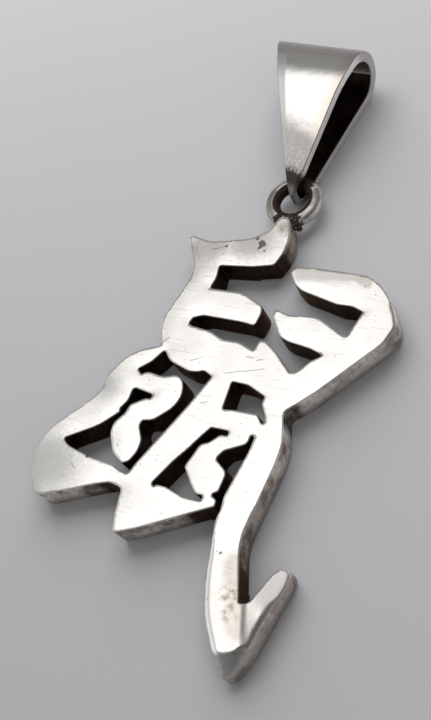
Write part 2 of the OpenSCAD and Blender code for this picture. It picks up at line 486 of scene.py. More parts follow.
apply_modifier(plate, "REMESH", mode="VOXEL", voxel_size=VOXEL * MM, adaptivity=0)
print("remeshed plate:", len(plate.data.polygons), "faces")

# %% [markdown]
# The foot of the long leg was filed after sawing. A narrow groove parts the leg from its hook,
# the hook's own face falls away behind the groove, and the very end is cut off at a slope. Each of
# these is a height that depends on how far a spot lies beyond a ridge line.

# %% Heights of the polished face
HOOK_RIDGE = np.array(((10.04, -25.82), (11.10, -29.01)))
FOOT_RIDGE = np.array(((10.95, -29.18), (9.45, -29.88)))
HOOK_TOP = -20.6
GROOVE_W = 0.42
GROOVE_DROP = 0.14
HOOK_SLOPE = math.tan(math.radians(7))
FOOT_SLOPE = math.tan(math.radians(34))
# The facet's edge is scooped: this much for each mm squared from its middle, up to half its width.
FOOT_SCOOP = 0.35
FOOT_HALF = 1.2
# The wheel also pulled the face down towards its rim, most along the sides that face the foot.
DOME_W = 1.5
DOME_DROP = 0.08
DOME_EVERYWHERE = 0.3
DOME_AT_FOOT = 0.7
DOME_ROUNDS = 14


def beside(points, ridge):
    """How far points lie along a ridge line from its middle, and to its left, in mm."""
    run = (ridge[1] - ridge[0]) / np.linalg.norm(ridge[1] - ridge[0])
    offset = points[:, :2] - (ridge[0] + ridge[1]) / 2
    return offset @ run, run[0] * offset[:, 1] - run[1] * offset[:, 0]


def eased(x):
    """A soft step from 0 to 1 as x goes from 0 to 1."""
    x = np.clip(x, 0, 1)
    return x * x * (3 - 2 * x)


def edge_pairs(piece):
    """The two vertices of each edge, as rows."""
    pairs = np.empty(2 * len(piece.data.edges), np.int32)
    piece.data.edges.foreach_get("vertices", pairs)
    return pairs.reshape(-1, 2)


def beside_others(piece, group):
    """The vertices that share an edge with a vertex of another group."""
    pairs = edge_pairs(piece)
    found = np.zeros(len(group), bool)
    found[pairs[group[pairs[:, 0]] != group[pairs[:, 1]]].ravel()] = True
    return found


def spread_out(piece, values, chosen, rounds):
    """Averages a value with its neighbours' values, over the chosen vertices alone."""
    pairs = edge_pairs(piece)
    a, b = pairs[chosen[pairs].all(1)].T
    shares = 1 + np.bincount(a, minlength=len(values)) + np.bincount(b, minlength=len(values))
    for _ in range(rounds):
        values = (values + np.bincount(a, values[b], len(values))
                  + np.bincount(b, values[a], len(values))) / shares
    return values


def face_height(points, inside, outward):
    """Height of the polished face over points that lie this far inside the outline, in mm."""
    pressed = np.clip(DOME_EVERYWHERE - DOME_AT_FOOT * outward[:, 1], 0, 1)
    dome = DOME_DROP * pressed * np.clip(1 - inside / DOME_W, 0, 1) ** 2
    dome = spread_out(plate, dome, points[:, 2] > plate_t - LAYER, DOME_ROUNDS)
    hook = np.where(points[:, 1] < HOOK_TOP, beside(points, HOOK_RIDGE)[1], 0)
    groove = GROOVE_DROP * np.clip(hook / GROOVE_W, 0, 1)
    behind_groove = HOOK_SLOPE * np.maximum(hook - GROOVE_W, 0)
    along, beyond = beside(points, FOOT_RIDGE)
    scoop = FOOT_SCOOP * np.clip(along, -FOOT_HALF, FOOT_HALF) ** 2
    facet = FOOT_SLOPE * np.maximum(beyond + scoop, 0)
    return plate_t - dome - np.maximum(groove + behind_groove, facet)


# %% [markdown]
# The wheel did not round every edge alike. The hook and the long leg, which rub most, have a broad
# soft round, and the upper edges of the strokes stayed crisper. Each row of the table below is a
# line along such an edge, how far to each side of it the row holds, and the radius there. Walls
# that looked more open or more shut in than their rays say get a row in a second table.

# %% Rounding the edges
OPEN_R = 0.15
SHELTERED_R = 0.12
BACK_R = 0.5
# A round under this radius is too narrow for the mesh to follow by itself.
NARROW_R = 0.2
# Lines in mm: [x, y, x, y, reach, radius, how far the edge was pushed out].
EDGE_WEAR = (
    (14.0, -21.0, 13.5, -24.0, 1.6, 0.26, 0.2), (13.0, -26.0, 12.4, -28.0, 2.2, 0.72, 0.16),
    (12.3, -28.8, 11.4, -31.2, 1.5, 0.55, 0), (10.8, -24.9, 12.2, -22.4, 0.8, 0.3, 0),
    (8.2, -18.5, 9.9, -25.3, 1.0, 0.24, 0),
    (5.2, -20.0, 9.0, -30.6, 1.6, 0.6, 0.2), (-15.3, -17.4, -12.4, -21.0, 1.9, 0.28, 0),
    (15.2, 2.5, 16.1, -1.0, 1.5, 0.40, 0), (16.1, -1.0, 9.0, -9.0, 1.4, 0.18, 0))
# An opening's end is sharp where its walls turn by more than this within this reach.
SHARP = math.cos(math.radians(100))
END_REACH = 0.25
END_DEPTH = 0.1 * END_REACH
# Lines along walls: [x, y, x, y, reach, share of the shelter taken off, or added if below 0].
OPEN_WALLS = ((7.6, -17.5, 9.2, -23.6, 1.8, 0.38), (2.3, 10.4, 3.0, 7.4, 1.0, 0.6),
              (9.4, -8.8, 8.7, -9.8, 1.2, -0.4))


def near_line(points, x0, y0, x1, y1, reach):
    """1 on the line between two places, and 0 further from it than its reach."""
    start = np.array((x0, y0))
    run = np.array((x1, y1)) - start
    share = np.clip((points[:, :2] - start) @ run / (run @ run), 0, 1)
    away = np.linalg.norm(points[:, :2] - start - share[:, None] * run, axis=1)
    return eased(1.5 * (1 - away / reach))


def onto_round(inside, below, radius):
    """Moves (inside, below) onto the quarter round of an edge where it lies in that corner."""
    u = inside - radius
    v = below - radius
    away = np.hypot(u, v)
    corner = (u < 0) & (v < 0) & (away > 0)
    scale = np.where(corner, radius / np.maximum(away, 1e-9), 1)
    return np.where(corner, radius + u * scale, inside), np.where(corner, radius + v * scale, below)


def sharp_ends():
    """Places where an opening ends in a point, and the direction from there into the metal."""
    found = []
    for spot in sample_at:
        close = [i for _, i, _ in outline_tree.find_range((*spot, 0), END_REACH)]
        inwards = side_inward[sample_side[close]]
        into = inwards.mean(0)
        depth = ((spot - sample_at[close]) @ into).mean()
        if (inwards @ inwards.T).min() < SHARP and depth > END_DEPTH * np.linalg.norm(into):
            found.append((depth, spot, into / np.linalg.norm(into)))
    kept = []
    for _, spot, into in sorted(found, key=lambda end: -end[0]):
        if all(np.linalg.norm(spot - other) > 2 * END_REACH for other, _ in kept):
            kept.append((spot, into))
    return kept


print("edges with a wear of their own:", len(EDGE_WEAR))

# %% Where each vertex lies from the outline
# Closer to the outline than this, a vertex moves square to its side and not away from its foot.
NEAR_SIDE = 0.05

points = points_of(plate)
nearest = np.array([outline_tree.find((x, y, 0))[1] for x, y in points[:, :2]])
side = sample_side[nearest]
run = side_end[side] - side_start[side]
part = ((points[:, :2] - side_start[side]) * run).sum(1) / (run * run).sum(1)
foot = side_start[side] + run * np.clip(part, 0, 1)[:, None]
offset = points[:, :2] - foot
gap = np.linalg.norm(offset, axis=1)
inward = side_inward[side]
inside = np.where((offset * inward).sum(1) < 0, 0, gap)
direction = np.where((inside > NEAR_SIDE)[:, None], offset / np.maximum(gap, 1e-9)[:, None], inward)
print("farthest in from the outline:", round(float(inside.max()), 2), "mm")

# %% Sharp ends of the openings
# The remesh stops short of a sharp end, so the nearest vertex of each row on the walls goes there.
END_SEARCH = 3.5 * VOXEL
BESIDE_WALL = 0.8 * VOXEL

ends = sharp_ends()
pulled = np.zeros(len(points), bool)
for end, into in ends:
    away = np.linalg.norm(points[:, :2] - end, axis=1)
    close = np.flatnonzero((away < END_SEARCH) & (gap < BESIDE_WALL))
    rows = np.round(points[close, 2] / VOXEL)
    for row in np.unique(rows):
        chosen = close[rows == row][np.argmin(away[close[rows == row]])]
        foot[chosen], direction[chosen], inside[chosen], pulled[chosen] = end, into, 0, True
print("sharp ends of the openings:", len(ends), "vertices moved there:", int(pulled.sum()))

# %% Radius of the nearest edge
# The shelter from which the wheel could no more than touch an edge.
OUT_OF_REACH = 0.35

shelter = sample_shelter[nearest]
for *line, reach, share in OPEN_WALLS:
    shelter = shelter * (1 - share * near_line(foot, *line, reach))
open_radius = np.full(len(foot), OPEN_R)
pushed_out = np.zeros(len(foot))
for *line, reach, worn, push in EDGE_WEAR:
    held = near_line(foot, *line, reach)
    open_radius += (worn - open_radius) * held
    pushed_out += push * held
radius = open_radius + (SHELTERED_R - open_radius) * eased(shelter / OUT_OF_REACH)
print("edge radii:", round(float(radius.min()), 2), "to", round(float(radius.max()), 2), "mm")

# %% Move the vertices onto the rounds
# How far in from the outline a pushed edge still moves the face, and where vertices keep their place.
PUSH_FADE = 1.2
LEFT_ALONE = 2.5 * VOXEL

# Vertices on the walls first go onto the outline, and those on the faces onto their heights.
layer = (points[:, 2] > plate_t - LAYER) * 1 - (points[:, 2] < LAYER) * 1
corner = beside_others(plate, layer) & (layer != 0)
on_wall = ((layer == 0) & (inside < LAYER)) | (corner & (inside < 2 * LAYER))
inside = np.where(on_wall, 0, inside)
# The face's first row goes to where a narrow round ends, so that its edge runs straight.
first_row = beside_others(plate, corner) & (layer == 1) & ~corner & (radius < NARROW_R) & ~pulled
inside = np.where(first_row, radius + 0.2 * np.maximum(inside - radius, 0), inside)
top = face_height(points, inside, -direction)
below = np.where(layer == 1, 0, np.maximum(top - points[:, 2], 0))
above = np.where(layer == -1, 0, points[:, 2])
back_radius = np.where(shelter > SHELTERED, SHELTERED_R, BACK_R)
rounded_in, rounded_down = onto_round(inside, below, radius)
rounded_in, rounded_up = onto_round(rounded_in, above, back_radius)
height = np.where(above < plate_t / 2, rounded_up, top - rounded_down)
moved = np.column_stack([foot + direction * rounded_in[:, None], height])
far_in = inside > LEFT_ALONE
moved[far_in, :2] = points[far_in, :2]
moved[:, :2] -= direction * (pushed_out * eased(1 - inside / PUSH_FADE))[:, None]
move_to(plate, moved)
smooth(plate)
print("rounded plate: open edges", unmerged_edges(plate))

# %% [markdown]
# Three numbers are stored with each vertex for the finish: how far it lies down the wall, how
# sheltered the wall is, and how much of a file's work shows. Rounding has left a few vertices on
# one spot, which are merged. The faces are split along their shorter diagonals, since a longer one
# would cut across an edge that was just made straight.

# %% Values for the plate's finish
# Where the wall's finish starts and how soon it is full, as shares of an edge's radius.
WALL_FROM = 0.08
WALL_FADE = 0.35
# The filed strip behind the groove, in mm: its soft start, its width and its soft end.
STRIP_SOFT = 0.12
STRIP_WIDTH = 1.0
STRIP_FADE = 0.5
# How much filing shows in it at its foot, how much less at its top, and where it changes.
STRIP_SHOWS = 0.5
STRIP_LESS = 0.35
STRIP_LOW_Y = -28.0
STRIP_CLIMB = 3.2
FOOT_SOFT = 0.2

share_down = np.where(pulled & (below == 0), 0, rounded_down / radius)
share_up = np.where(above < plate_t / 2, rounded_up / SHELTERED_R, 1)
keep_values(plate, "wall", eased((np.minimum(share_down, share_up) - WALL_FROM) / WALL_FADE))
keep_values(plate, "sheltered", shelter)
beyond = np.where(points[:, 1] < HOOK_TOP, beside(points, HOOK_RIDGE)[1], -1)
filed = eased(beyond / STRIP_SOFT + 1) * (1 - eased((beyond - STRIP_WIDTH) / STRIP_FADE))
filed *= STRIP_SHOWS - STRIP_LESS * eased((points[:, 1] - STRIP_LOW_Y) / STRIP_CLIMB)
on_foot = eased(beside(points, FOOT_RIDGE)[1] / FOOT_SOFT + 1)
keep_values(plate, "filed", np.maximum(filed, on_foot))
with edit_mode(plate):
    bpy.ops.mesh.remove_doubles(threshold=2 * MERGE)
    bpy.ops.mesh.quads_convert_to_tris(quad_method="SHORTEST_DIAGONAL")
print("merged plate: open edges", unmerged_edges(plate))
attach(plate, "root")
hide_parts("sawn_plate")
print("plate box", [[round(x / MM, 2) for x in corner] for corner in
                    (plate.bound_box[0], plate.bound_box[6])])

# %% [markdown]
# ## The jump ring
#
# The ring is round wire bent into a circle and closed with solder. Years on a chain have rubbed
# its upper side flat. A torus primitive gives the wire. The worn side is then pressed down row by
# row, the closing seam is drawn in a little, and the tarnish that stays on the inside of the ring
# is stored with each vertex.

# %% Jump ring
RING_MID = Vector((0.969, 13.345, 1.65))
RING_OD = 5.8
RING_WIRE = 1.45
RING_R = (RING_OD - RING_WIRE) / 2
WORN_FLAT = 0.10
# The worn flat starts at this share of the wire's half thickness.
WORN_FROM = 0.55
SEAM_TURN = math.radians(-118)
SEAM_WIDTH = 0.09
SEAM_DEPTH = 0.06

bpy.ops.object.select_all(action="DESELECT")
bpy.ops.mesh.primitive_torus_add(
    location=(0, 0, 0), major_segments=120, minor_segments=40,
    major_radius=RING_R * MM, minor_radius=RING_WIRE / 2 * MM)
ring = bpy.context.object
ring.name = ring.data.name = "jump_ring"
points = points_of(ring)
around = np.arctan2(points[:, 1], points[:, 0])
seam = np.exp(-((around - SEAM_TURN) / SEAM_WIDTH) ** 2)
middle_line = np.column_stack([RING_R * np.cos(around), RING_R * np.sin(around), 0 * around])
wire = points - middle_line
wire *= (1 - SEAM_DEPTH * seam)[:, None]
wire[:, 2] -= WORN_FLAT * eased((wire[:, 2] / (RING_WIRE / 2) - WORN_FROM) / (1 - WORN_FROM))
move_to(ring, middle_line + wire + np.array(RING_MID))
outwards = np.hypot(points[:, 0], points[:, 1]) - RING_R
keep_values(ring, "inner", eased(0.5 - outwards / RING_WIRE))
smooth(ring)
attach(ring, "root")
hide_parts("sawn_plate")
print("ring:", len(ring.data.polygons), "faces, open edges", unmerged_edges(ring))

# %% [markdown]
# ## The solder
#
# Solder ran into the corner between the ring and the tip, and set there as a lumpy bead that no
# wheel could reach. It is built as such beads are: a few balls sunk into each other are joined,
# a fine remesh melts them into one skin, and noise then makes that skin uneven.

# %% Solder bead
# Balls of solder: [x, y, z, radius], in mm.
SOLDER_BALLS = (
    (1.40, 10.90, 1.70, 0.84), (0.75, 11.15, 1.60, 0.66), (1.95, 11.12, 1.60, 0.60),
    (2.30, 11.12, 1.60, 0.36), (2.30, 10.62, 1.35, 0.34), (0.25, 11.05, 1.50, 0.44))
SOLDER_VOXEL = 0.07
LUMP_HEIGHT = 0.07
# Lumps to a millimetre: coarse ones, and fine ones half as high.
COARSE_LUMPS = 1.9
FINE_LUMPS = 4.1

bpy.ops.object.select_all(action="DESELECT")
balls = []
for x, y, z, ball_r in SOLDER_BALLS:
    bpy.ops.mesh.primitive_ico_sphere_add(subdivisions=4, radius=ball_r * MM, location=(0, 0, 0))
    bpy.context.object.data.transform(Matrix.Translation(Vector((x, y, z)) * MM))
    balls.append(bpy.context.object)
for ball in balls:
    ball.select_set(True)
bpy.context.view_layer.objects.active = balls[0]
bpy.ops.object.join()
solder = bpy.context.object
solder.name = solder.data.name = "ring_solder"
apply_modifier(solder, "REMESH", mode="VOXEL", voxel_size=SOLDER_VOXEL * MM, adaptivity=0)
apply_modifier(solder, "SMOOTH", factor=0.5, iterations=6)
points = points_of(solder)
solder_mid = np.array(SOLDER_BALLS[0][:3])
lumps = np.array([
    noise.noise(Vector(p) * COARSE_LUMPS) + 0.5 * noise.noise(Vector(p) * FINE_LUMPS)
    for p in points])
away = points - solder_mid
points += away / np.linalg.norm(away, axis=1)[:, None] * (LUMP_HEIGHT * lumps)[:, None]
move_to(solder, points)
smooth(solder)
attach(solder, "root")
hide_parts("sawn_plate")
print("solder:", len(solder.data.polygons), "faces, open edges", unmerged_edges(solder))

# %% [markdown]
# ## The bail
#
# The bail is one strip, folded so that its two leaves meet in the ring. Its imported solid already
# has the fold, the taper and the thickness. A copy gets its flat sides cleaned to single faces, and
# a small bevel round every cut edge, as a file leaves it. Hardened normals keep the sides looking
# flat up to the bevel.

# %% Bail
BAIL_EDGE = 0.14
BAIL_CORNER = math.radians(40)
FLAT = math.radians(1)

bail = copy_of("bail", "folded_bail")
with edit_mode(bail):
    bpy.ops.mesh.dissolve_limited(angle_limit=FLAT)
bpy.ops.object.shade_smooth_by_angle(angle=BAIL_CORNER)
apply_modifier(bail, "BEVEL", width=BAIL_EDGE * MM, segments=3, limit_method="ANGLE",
               angle_limit=BAIL_CORNER, harden_normals=True)
print("bevelled bail:", len(bail.data.polygons), "faces")

# %% Which faces of the bail are inside its loop, and which were cut
BAIL_TURN = math.radians(8)
BAIL_ALONG = Vector((math.sin(BAIL_TURN), math.cos(BAIL_TURN), 0))
BAIL_ACROSS = Vector((math.cos(BAIL_TURN), -math.sin(BAIL_TURN), 0))
LOOP_REACH = 7.0
OFF_FACE = 0.02
# A face was cut if it turns this much of its normal to the strip's side.
CUT_SIDE = 0.72

bail_target = ray_target(bail)
inside_loop = []
cut_side = []
for face in bail.data.polygons:
    start = face.center / MM + OFF_FACE * face.normal
    inside_loop.append(bail_target.ray_cast(start, face.normal, LOOP_REACH)[3] is not None)
    cut_side.append(abs(face.normal.dot(BAIL_ACROSS)) > CUT_SIDE)
keep_values(bail, "inner", inside_loop, "FACE")
keep_values(bail, "cut", cut_side, "FACE")
print("bail faces inside the loop:", sum(inside_loop), "cut:", sum(cut_side))
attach(bail, "root")
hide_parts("bail")
print("bail:", len(bail.data.polygons), "faces, open edges", unmerged_edges(bail))

# %% [markdown]
# ## Finishes
#
# All finishes measure places in millimetres, from the piece's Object coordinates, so that a
# scratch 0.1 mm wide is written as 0.1. Effects that several finishes share are node groups with
# named inputs, built once and placed in each material with its own values.

# %% Helpers for groups
def largest(*values):
    """The largest of several values. The first is a Value."""
    total = values[0]
    for value in values[1:]:
        total = maths("MAXIMUM", total, value)
    return total


def scaled(vector, factor):
    """A vector made that many times as long."""
    return add_node(vector.tree, "ShaderNodeVectorMath", {"Vector": vector, "Scale": factor},
                    operation="SCALE")


def plan_of(spot):
    """The place of a spot as seen from straight above."""
    return vector_maths("MULTIPLY", spot, (1, 1, 0))


def cloud(spot, scale, detail=3.0, roughness=0.55):
    """Smooth noise from 0 to 1, with that many bumps to a millimetre."""
    return add_node(spot.tree, "ShaderNodeTexNoise", {
        "Vector": spot, "Scale": scale, "Detail": detail, "Roughness": roughness}, "Fac")


def new_group(name, **inputs):
    """Starts a shader node group that makes a mask. Hands back a Value for each of its inputs."""
    tree = bpy.data.node_groups.new(name, "ShaderNodeTree")
    for key, value in inputs.items():
        kind = "NodeSocketVector" if isinstance(value, tuple) else "NodeSocketFloat"
        tree.interface.new_socket(name=key, in_out="INPUT", socket_type=kind).default_value = value
    tree.interface.new_socket(name="Mask", in_out="OUTPUT", socket_type="NodeSocketFloat")
    given = tree.nodes.new("NodeGroupInput").outputs
    return [Value(given[key]) for key in inputs]


def end_group(mask):
    """Lets a group put out this mask, and hands back the group."""
    fill(mask.tree.nodes.new("NodeGroupOutput").inputs["Mask"], mask)
    print("group:", mask.tree.name, "with", len(mask.tree.nodes), "nodes")
    return mask.tree


def use_group(group, **inputs):
    """The mask of a group, with these values on its inputs."""
    return add_node(inputs["Spot"].tree, "ShaderNodeGroup", inputs, node_tree=group)


print("helpers for groups ready")

# %% [markdown]
# ### Hairline scratches
#
# A polished face that is worn against cloth has short hairline scratches in a few directions. They
# could be drawn one by one, but noise that is stretched far along one axis already looks like a
# bundle of them once all but its highest crests are cut away. Three such bundles, each turned to
# its own angle, are joined.

# %% Hairline scratches
HAIRLINE_TURNS = (18, 67, 142)
HAIRLINE_STRETCH = 0.06
# How high a crest has to be, when no hairlines and when all of them are wanted.
CREST_LEVELS = (0.78, 0.58)
CREST_SOFTNESS = 0.05


def hairline_scratches():
    spot, fineness, share = new_group("hairline_scratches", Spot=(0, 0, 0), Fineness=5.0, Share=0.3)
    low = share.between(*CREST_LEVELS)
    bundles = []
    for turn in HAIRLINE_TURNS:
        turned = add_node(spot.tree, "ShaderNodeMapping", {
            "Vector": spot, "Rotation": (0, 0, math.radians(turn)),
            "Location": (3.1 * turn, 1.7 * turn, 0), "Scale": (HAIRLINE_STRETCH, 1, 1)})
        bundles.append(cloud(turned, fineness, detail=1.0).step_up(low, low + CREST_SOFTNESS))
    return end_group(largest(*bundles))


HAIRLINES = hairline_scratches()

# %% [markdown]
# ### Pits, marks and single scratches
#
# Pits are the dots of a Voronoi texture, of which only a share is kept. A mark is a ragged disc round
# a chosen place, and a single scratch is everything within half its width of a line between two
# chosen places. All three put out a mask that a finish may use for colour and for depth.

# %% Pits, marks and single scratches
def pits():
    spot, fineness, share, size = new_group(
        "pits", Spot=(0, 0, 0), Fineness=2.0, Share=0.3, Size=0.2)
    away = add_node(spot.tree, "ShaderNodeTexVoronoi", {"Vector": spot, "Scale": fineness}, "Distance")
    chance = Value(away.socket.node.outputs["Color"])
    red = add_node(spot.tree, "ShaderNodeSeparateColor", {"Color": chance})
    green = Value(red.socket.node.outputs[1])
    size = size * green.between(0.5, 1.0)
    return end_group(away.step_down(size * 0.5, size) * maths("LESS_THAN", red, share))


def mark():
    spot, middle, radius, softness, ragged = new_group(
        "mark", Spot=(0, 0, 0), Middle=(0, 0, 0), Radius=0.5, Softness=0.2, Ragged=0.2)
    away = vector_maths("DISTANCE", spot, middle, "Value") + (cloud(spot, 2.5) - 0.5) * ragged * 4
    return end_group(away.step_down(radius, radius + softness))


def single_scratch():
    spot, start, end, width = new_group(
        "single_scratch", Spot=(0, 0, 0), From=(0, 0, 0), To=(1, 0, 0), Width=0.1)
    wobble = add_node(spot.tree, "ShaderNodeTexNoise", {
        "Vector": spot, "Scale": 0.8, "Detail": 2.0}, "Color")
    wobble = scaled(vector_maths("SUBTRACT", wobble, (0.5, 0.5, 0.5)), 0.5)
    run = vector_maths("SUBTRACT", end, start)
    offset = vector_maths("SUBTRACT", plan_of(vector_maths("ADD", spot, wobble)), start)
    along = maths("DIVIDE", vector_maths("DOT_PRODUCT", offset, run, "Value"),
                  vector_maths("DOT_PRODUCT", run, run, "Value"))
    along = add_node(spot.tree, "ShaderNodeClamp", {"Value": along})
    away = vector_maths("DISTANCE", offset, scaled(run, along), "Value")
    half = width * 0.5
    return end_group(away.step_down(half * 0.4, half))


PITS = pits()
MARK = mark()
SCRATCH = single_scratch()

# %% [markdown]
# ### Laying films over silver
#
# Tarnish is a stack of thin films: each covers only a share of what lies under it. So a finish
# starts from bare silver, lays its films over it in turn, and ends with the few inputs of the
# shader that they change. In the dark places the tarnish also tints what it mirrors, brown.

# %% Helpers for the finishes
TARNISH_SHEEN = (0.86, 0.64, 0.50)


def new_finish(name):
    """A material, its node tree, and the spot on the piece that its patterns are measured at, in mm."""
    finish = bpy.data.materials.new(name)
    finish.use_nodes = True
    tree = finish.node_tree
    return finish, tree, scaled(add_node(tree, "ShaderNodeTexCoord", out="Object"), 1 / MM)


def stored(tree, name):
    """A number that was stored with the mesh."""
    return add_node(tree, "ShaderNodeAttribute", out="Fac", attribute_name=name)


def layered(colour, *films):
    """A colour with films laid over it in turn. Each is a share and a colour."""
    for share, film in films:
        colour = share.blend(colour, film)
    return colour


def marks_at(plan, rows):
    """The marks of a table of [x, y, radius, softness, ragged], joined."""
    return largest(*[
        use_group(MARK, Spot=plan, Middle=(x, y, 0), Radius=radius, Softness=softness, Ragged=ragged)
        for x, y, radius, softness, ragged in rows])


def bands_at(plan, rows):
    """The bands or scratches of a table of [x, y, x, y, width], joined."""
    return largest(*[
        use_group(SCRATCH, Spot=plan, From=(x0, y0, 0), To=(x1, y1, 0), Width=width)
        for x0, y0, x1, y1, width in rows])


def bump(depth, strength, distance):
    """A depth as a bent normal, with the distance in mm."""
    return add_node(depth.tree, "ShaderNodeBump", {
        "Height": depth, "Strength": strength, "Distance": distance * MM})


def shade(finish, colour, metallic, roughness, brown, normal):
    """Fills the shader's inputs. Brown is the share of tarnish, which mirrors in brown."""
    fill_inputs(finish.node_tree.nodes["Principled BSDF"], {
        "Base Color": colour, "Metallic": metallic, "Roughness": roughness,
        "Specular Tint": brown.blend((1, 1, 1), TARNISH_SHEEN), "Normal": normal})
    return finish


def put_on(piece, finish):
    """Gives the piece its finish."""
    piece.data.materials.append(finish)
    print("finish:", finish.name, "with", len(finish.node_tree.nodes), "nodes, on", piece.name)


# %% [markdown]
# ### The plate's finish
#
# The polished face is nearly white silver with a thin warm film. The film is thickest on the upper
# stroke and the left foot, and there it is also painted shade: greyer where the face mirrors a dimmer
# part of the room. The walls show what the saw and the file left: grey-brown tarnish in patches where
# they are open, and almost black, faintly red, where they are sheltered. On some open walls the light
# they mirror is painted on, and others are painted darker. All of them grow darker towards their foot,
# as painted contact shade and as tarnish. The two are mixed by the numbers that were stored with the
# mesh.

# %% Colours and places of the plate's finish
FACE_SILVER = (0.94, 0.93, 0.905)
FILM = (0.60, 0.565, 0.52)
COOL_FILM_AND_SHADE = (0.50, 0.505, 0.485)
PINK_FILM = (0.80, 0.76, 0.75)
BEIGE = (0.52, 0.43, 0.36)
PEACH = (0.82, 0.74, 0.65)
OPEN_WALL = (0.76, 0.69, 0.63)
PAINTED_WALL_LIGHT = (0.95, 0.90, 0.85)
WALL_PATCH = (0.20, 0.165, 0.145)
SHELTERED_WALL = (0.015, 0.010, 0.009)
RED_WALL = (0.05, 0.025, 0.018)
STAIN = (0.10, 0.085, 0.07)
FILED = (0.36, 0.35, 0.345)

# Tables of marks: [x, y, radius, softness, ragged], in mm from the pendant's middle.
FACE_MARKS = (
    (-0.10, 7.52, 0.28, 0.22, 0.35), (-0.75, 8.12, 0.10, 0.15, 0.2), (0.40, 6.82, 0.05, 0.12, 0.1),
    (-3.75, 6.97, 0.08, 0.15, 0.1), (-9.35, -16.68, 0.12, 0.12, 0.1), (6.75, -22.08, 0.08, 0.1, 0.1))
# Warm and cool places are films, and also painted shade where the face mirrors a dimmer part of the
# room.
WARM_FILM_AND_SHADE_PLACES = (
    (-5.6, 7.2, 1.0, 2.2, 0.6), (-1.5, 8.1, 0.6, 2.8, 0.6), (1.6, 9.7, 0.2, 1.2, 0.3))
COOL_FILM_AND_SHADE_PLACES = (
    (-13.2, -18.6, 1.0, 4.2, 0.6), (-7.6, 5.6, 0.2, 1.6, 0.4), (-10.6, -9.6, -0.4, 3.6, 0.3))
PINK_PLACES = ((12.4, -23.8, 1.2, 1.6, 0.2),)
SPECK_PLACES = (
    (-0.8, -20.4, 0.5, 1.6, 0.4), (-3.6, -20.7, 0.2, 0.8, 0.3), (4.6, -12.5, 0.3, 1.4, 0.4),
    (-3.2, -4.7, 0.4, 1.6, 0.5), (7.8, -16.6, 0.4, 1.6, 0.5), (-0.2, -17.1, 0.2, 1.2, 0.4))
BEIGE_PLACES = (
    (9.0, -25.3, 0.35, 1.3, 0.25), (9.25, -26.5, 0.3, 0.9, 0.2), (1.35, 9.65, 0.15, 0.5, 0.2))

# Tables of single scratches: [x, y, x, y, width]. A soft band is a scratch a few mm wide.
FACE_SCRATCHES = (
    (-5.15, 6.37, -3.65, 7.02, 0.16), (0.95, -6.28, 4.75, -5.18, 0.10),
    (-10.75, -17.7, -10.2, -18.1, 0.12), (2.6, -4.30, 3.3, -4.36, 0.12),
    (3.7, -4.45, 4.3, -4.30, 0.12), (-2.8, -5.6, -2.1, -5.3, 0.12),
    (-0.25, -9.45, 0.55, -9.30, 0.12), (-6.5, -4.5, -6.0, -3.6, 0.12))
FILM_BANDS = ((5.0, 4.95, 9.6, 5.4, 2.4), (9.6, 5.4, 11.6, 4.7, 1.4))
PEACH_BANDS = ((8.3, -22.8, 10.4, -27.6, 2.8),)
# Bands in which the open walls are painted lighter, as painted light where they mirror the lit table.
LIT_WALL_BANDS = ((17.2, -0.4, 13.2, -5.2, 4.4), (13.2, -5.2, 7.5, -10.5, 3.0))
# Bands in which the open walls are painted darker.
DARKER_WALL_BANDS = (
    (2.1, 11.0, 3.1, 7.0, 3.4), (14.6, -21.5, 12.9, -26.5, 3.4), (12.9, -26.5, 10.6, -31.5, 3.0),
    (7.2, -14.0, 9.2, -23.5, 2.6))
LEG_LINES_TURN = math.radians(-68)
WALL_ROUGHNESS = 0.42
print("places on the plate:", len(FACE_MARKS + SPECK_PLACES), "marks and specks,",
      len(FACE_SCRATCHES), "scratches")

# %% Plate finish
def plate_walls(spot, plan, sheltered):
    """Colour of the walls, how shut in they are, and their saw and file streaks."""
    patches = cloud(spot, 0.55, detail=5.0, roughness=0.65)
    streaks = cloud(vector_maths("MULTIPLY", spot, (1, 1, 0.25)), 3.5)
    high = add_node(spot.tree, "ShaderNodeSeparateXYZ", {0: spot}, "Z")
    open_wall = layered(
        OPEN_WALL, (patches.step_up(0.42, 0.66), WALL_PATCH),
        (streaks.step_up(0.45, 0.7) * 0.45, WALL_PATCH),
        # Painted light on the walls that mirror the lit table.
        (bands_at(plan, LIT_WALL_BANDS) * 0.5, PAINTED_WALL_LIGHT),
        # Walls painted darker in bands.
        (bands_at(plan, DARKER_WALL_BANDS) * 0.45, WALL_PATCH),
        # Darker towards the foot of the wall: painted contact shade where it meets the table, and
        # tarnish.
        (high.uneven(patches, 0.8).step_down(0.3, 1.5) * 0.7, WALL_PATCH))
    dark_wall = streaks.step_up(0.4, 0.75).blend(SHELTERED_WALL, RED_WALL)
    shut_in = sheltered.uneven(patches, 0.125).step_up(0.02, 0.21)
    return shut_in.blend(open_wall, dark_wall), shut_in, streaks


